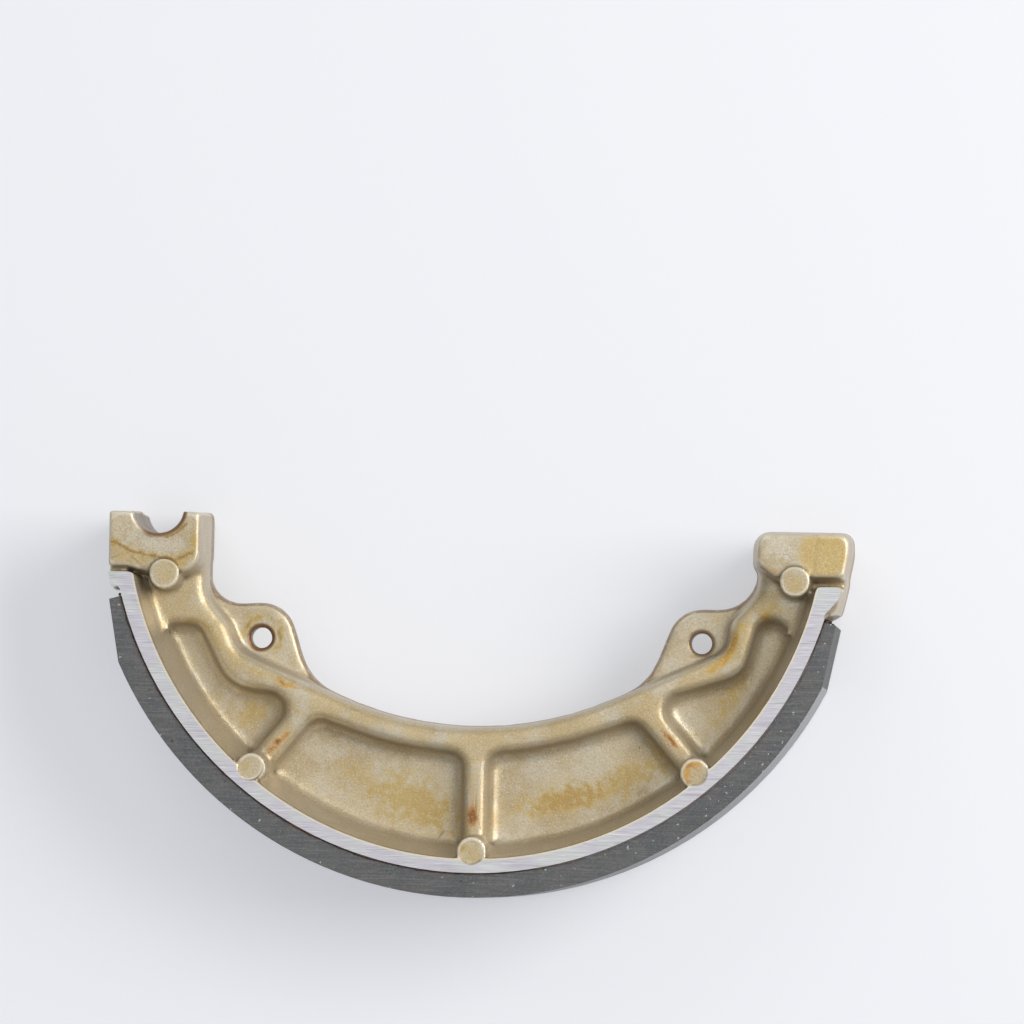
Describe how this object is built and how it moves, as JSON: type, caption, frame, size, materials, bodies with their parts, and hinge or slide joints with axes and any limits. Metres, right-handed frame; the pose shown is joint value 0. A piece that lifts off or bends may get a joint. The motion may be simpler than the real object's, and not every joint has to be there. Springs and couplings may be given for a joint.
{
  "type": "brake shoe",
  "caption": "Half-round die-cast drum brake shoe with an anchor-pin notch, a cam block, sprung ears, ribbed pockets and a bonded friction lining.",
  "frame": {"origin": "axis of the anchor pin, on the middle plane of the shoe's width", "axes": "+X from the anchor pin towards the cam end, parallel to the cam face; the shoe arcs towards -Y; +Z along the drum's axis, with the ejector-pad face up"},
  "size_m": [0.1249, 0.0638, 0.028],
  "materials": {
    "cast_aluminium": "satin champagne-coloured die casting with bright milled rim faces, brown stains and a few rust-brown spots",
    "adhesive": "dark brown cured adhesive",
    "lining": "matt grey friction material with fine light and dark specks, ground paler on the outer face"
  },
  "bodies": {
    "root": {"shoe_casting": "cast_aluminium", "bond_line": "adhesive", "friction_lining": "lining"}
  },
  "joints": []
}
